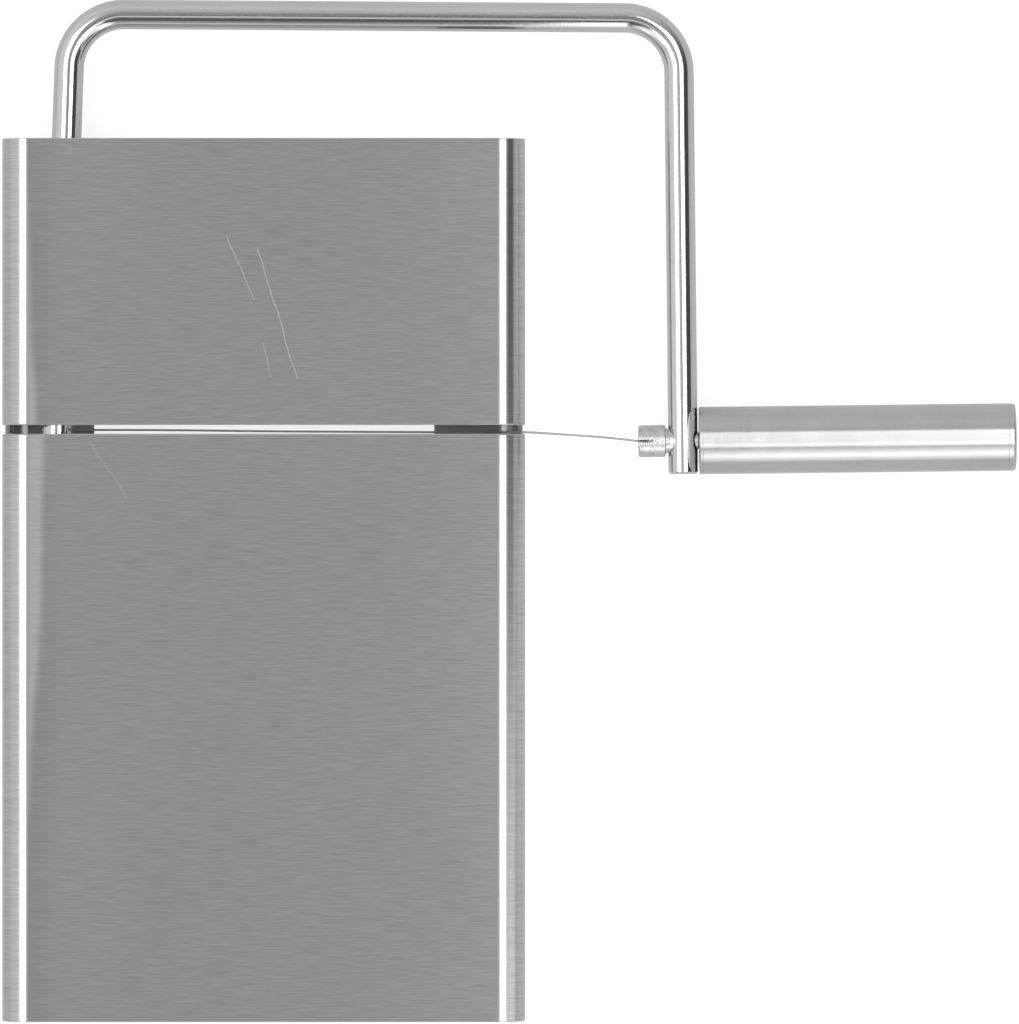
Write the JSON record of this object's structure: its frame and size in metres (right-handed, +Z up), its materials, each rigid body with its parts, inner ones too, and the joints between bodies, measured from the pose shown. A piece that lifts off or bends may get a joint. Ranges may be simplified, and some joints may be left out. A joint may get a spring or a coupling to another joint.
{
  "type": "wire butter slicer",
  "caption": "Flat steel board with a cutting slot and a hinged rod arm that holds a tensioned wire and a round bar handle.",
  "frame": {"origin": "on the table plane, under the middle of the board", "axes": "+X across the board towards the handle, +Y towards the board's back edge, +Z up from the table"},
  "size_m": [0.2404, 0.2422, 0.016],
  "materials": {
    "brushed_sheet": "brushed across, polished on the rolled sides",
    "polished_rod": "polished, with faint drawing marks",
    "satin_tube": "satin",
    "turned_steel": "turned",
    "wire_steel": "drawn wire",
    "nipple_brass": "plain",
    "zinc_plated_strip": "zinc plated",
    "washer_steel": "pressed",
    "clip_steel": "phosphated spring steel",
    "nylon": "moulded",
    "rubber": "moulded"
  },
  "bodies": {
    "board": {"board_shell": "brushed_sheet", "front_left_foot": "rubber", "front_right_foot": "rubber", "rear_left_foot": "rubber", "rear_right_foot": "rubber", "pivot_bracket": "zinc_plated_strip", "front_pivot_bush": "nylon", "rear_pivot_bush": "nylon"},
    "arm": {"arm_rod": "polished_rod", "front_thrust_washer": "washer_steel", "rear_thrust_washer": "washer_steel", "front_retaining_clip": "clip_steel", "rear_retaining_clip": "clip_steel", "anchor_nipple": "nipple_brass", "cutting_wire": "wire_steel"},
    "handle": {"handle_tube": "satin_tube", "handle_near_cap": "satin_tube", "handle_far_cap": "satin_tube", "handle_insert": "turned_steel"},
    "tension_screw": {"tension_screw": "turned_steel", "tension_nipple": "nipple_brass"}
  },
  "joints": [
    {"name": "arm_hinge", "type": "hinge", "parent": "board", "child": "arm", "pos_m": [-0.04915, 0.03565, 0.008], "axis": [-0.0349, -0.9994, 0], "range_deg": [0, 180]},
    {"name": "handle_spin", "type": "hinge", "parent": "arm", "child": "handle", "pos_m": [0.09944, 0.033, 0.008], "axis": [-0.9999, -0.0113, 0], "range_deg": [-720, 300]},
    {"name": "tension_slide", "type": "slide", "parent": "arm", "child": "tension_screw", "axis": [0.9999, 0.0113, 0], "range_m": [-0.0014, 0.00059], "deforming": ["cutting_wire"]}
  ],
  "couplings": [
    {"joint": "tension_slide", "follows": "handle_spin", "m_per_rad": 0.00011141}
  ]
}
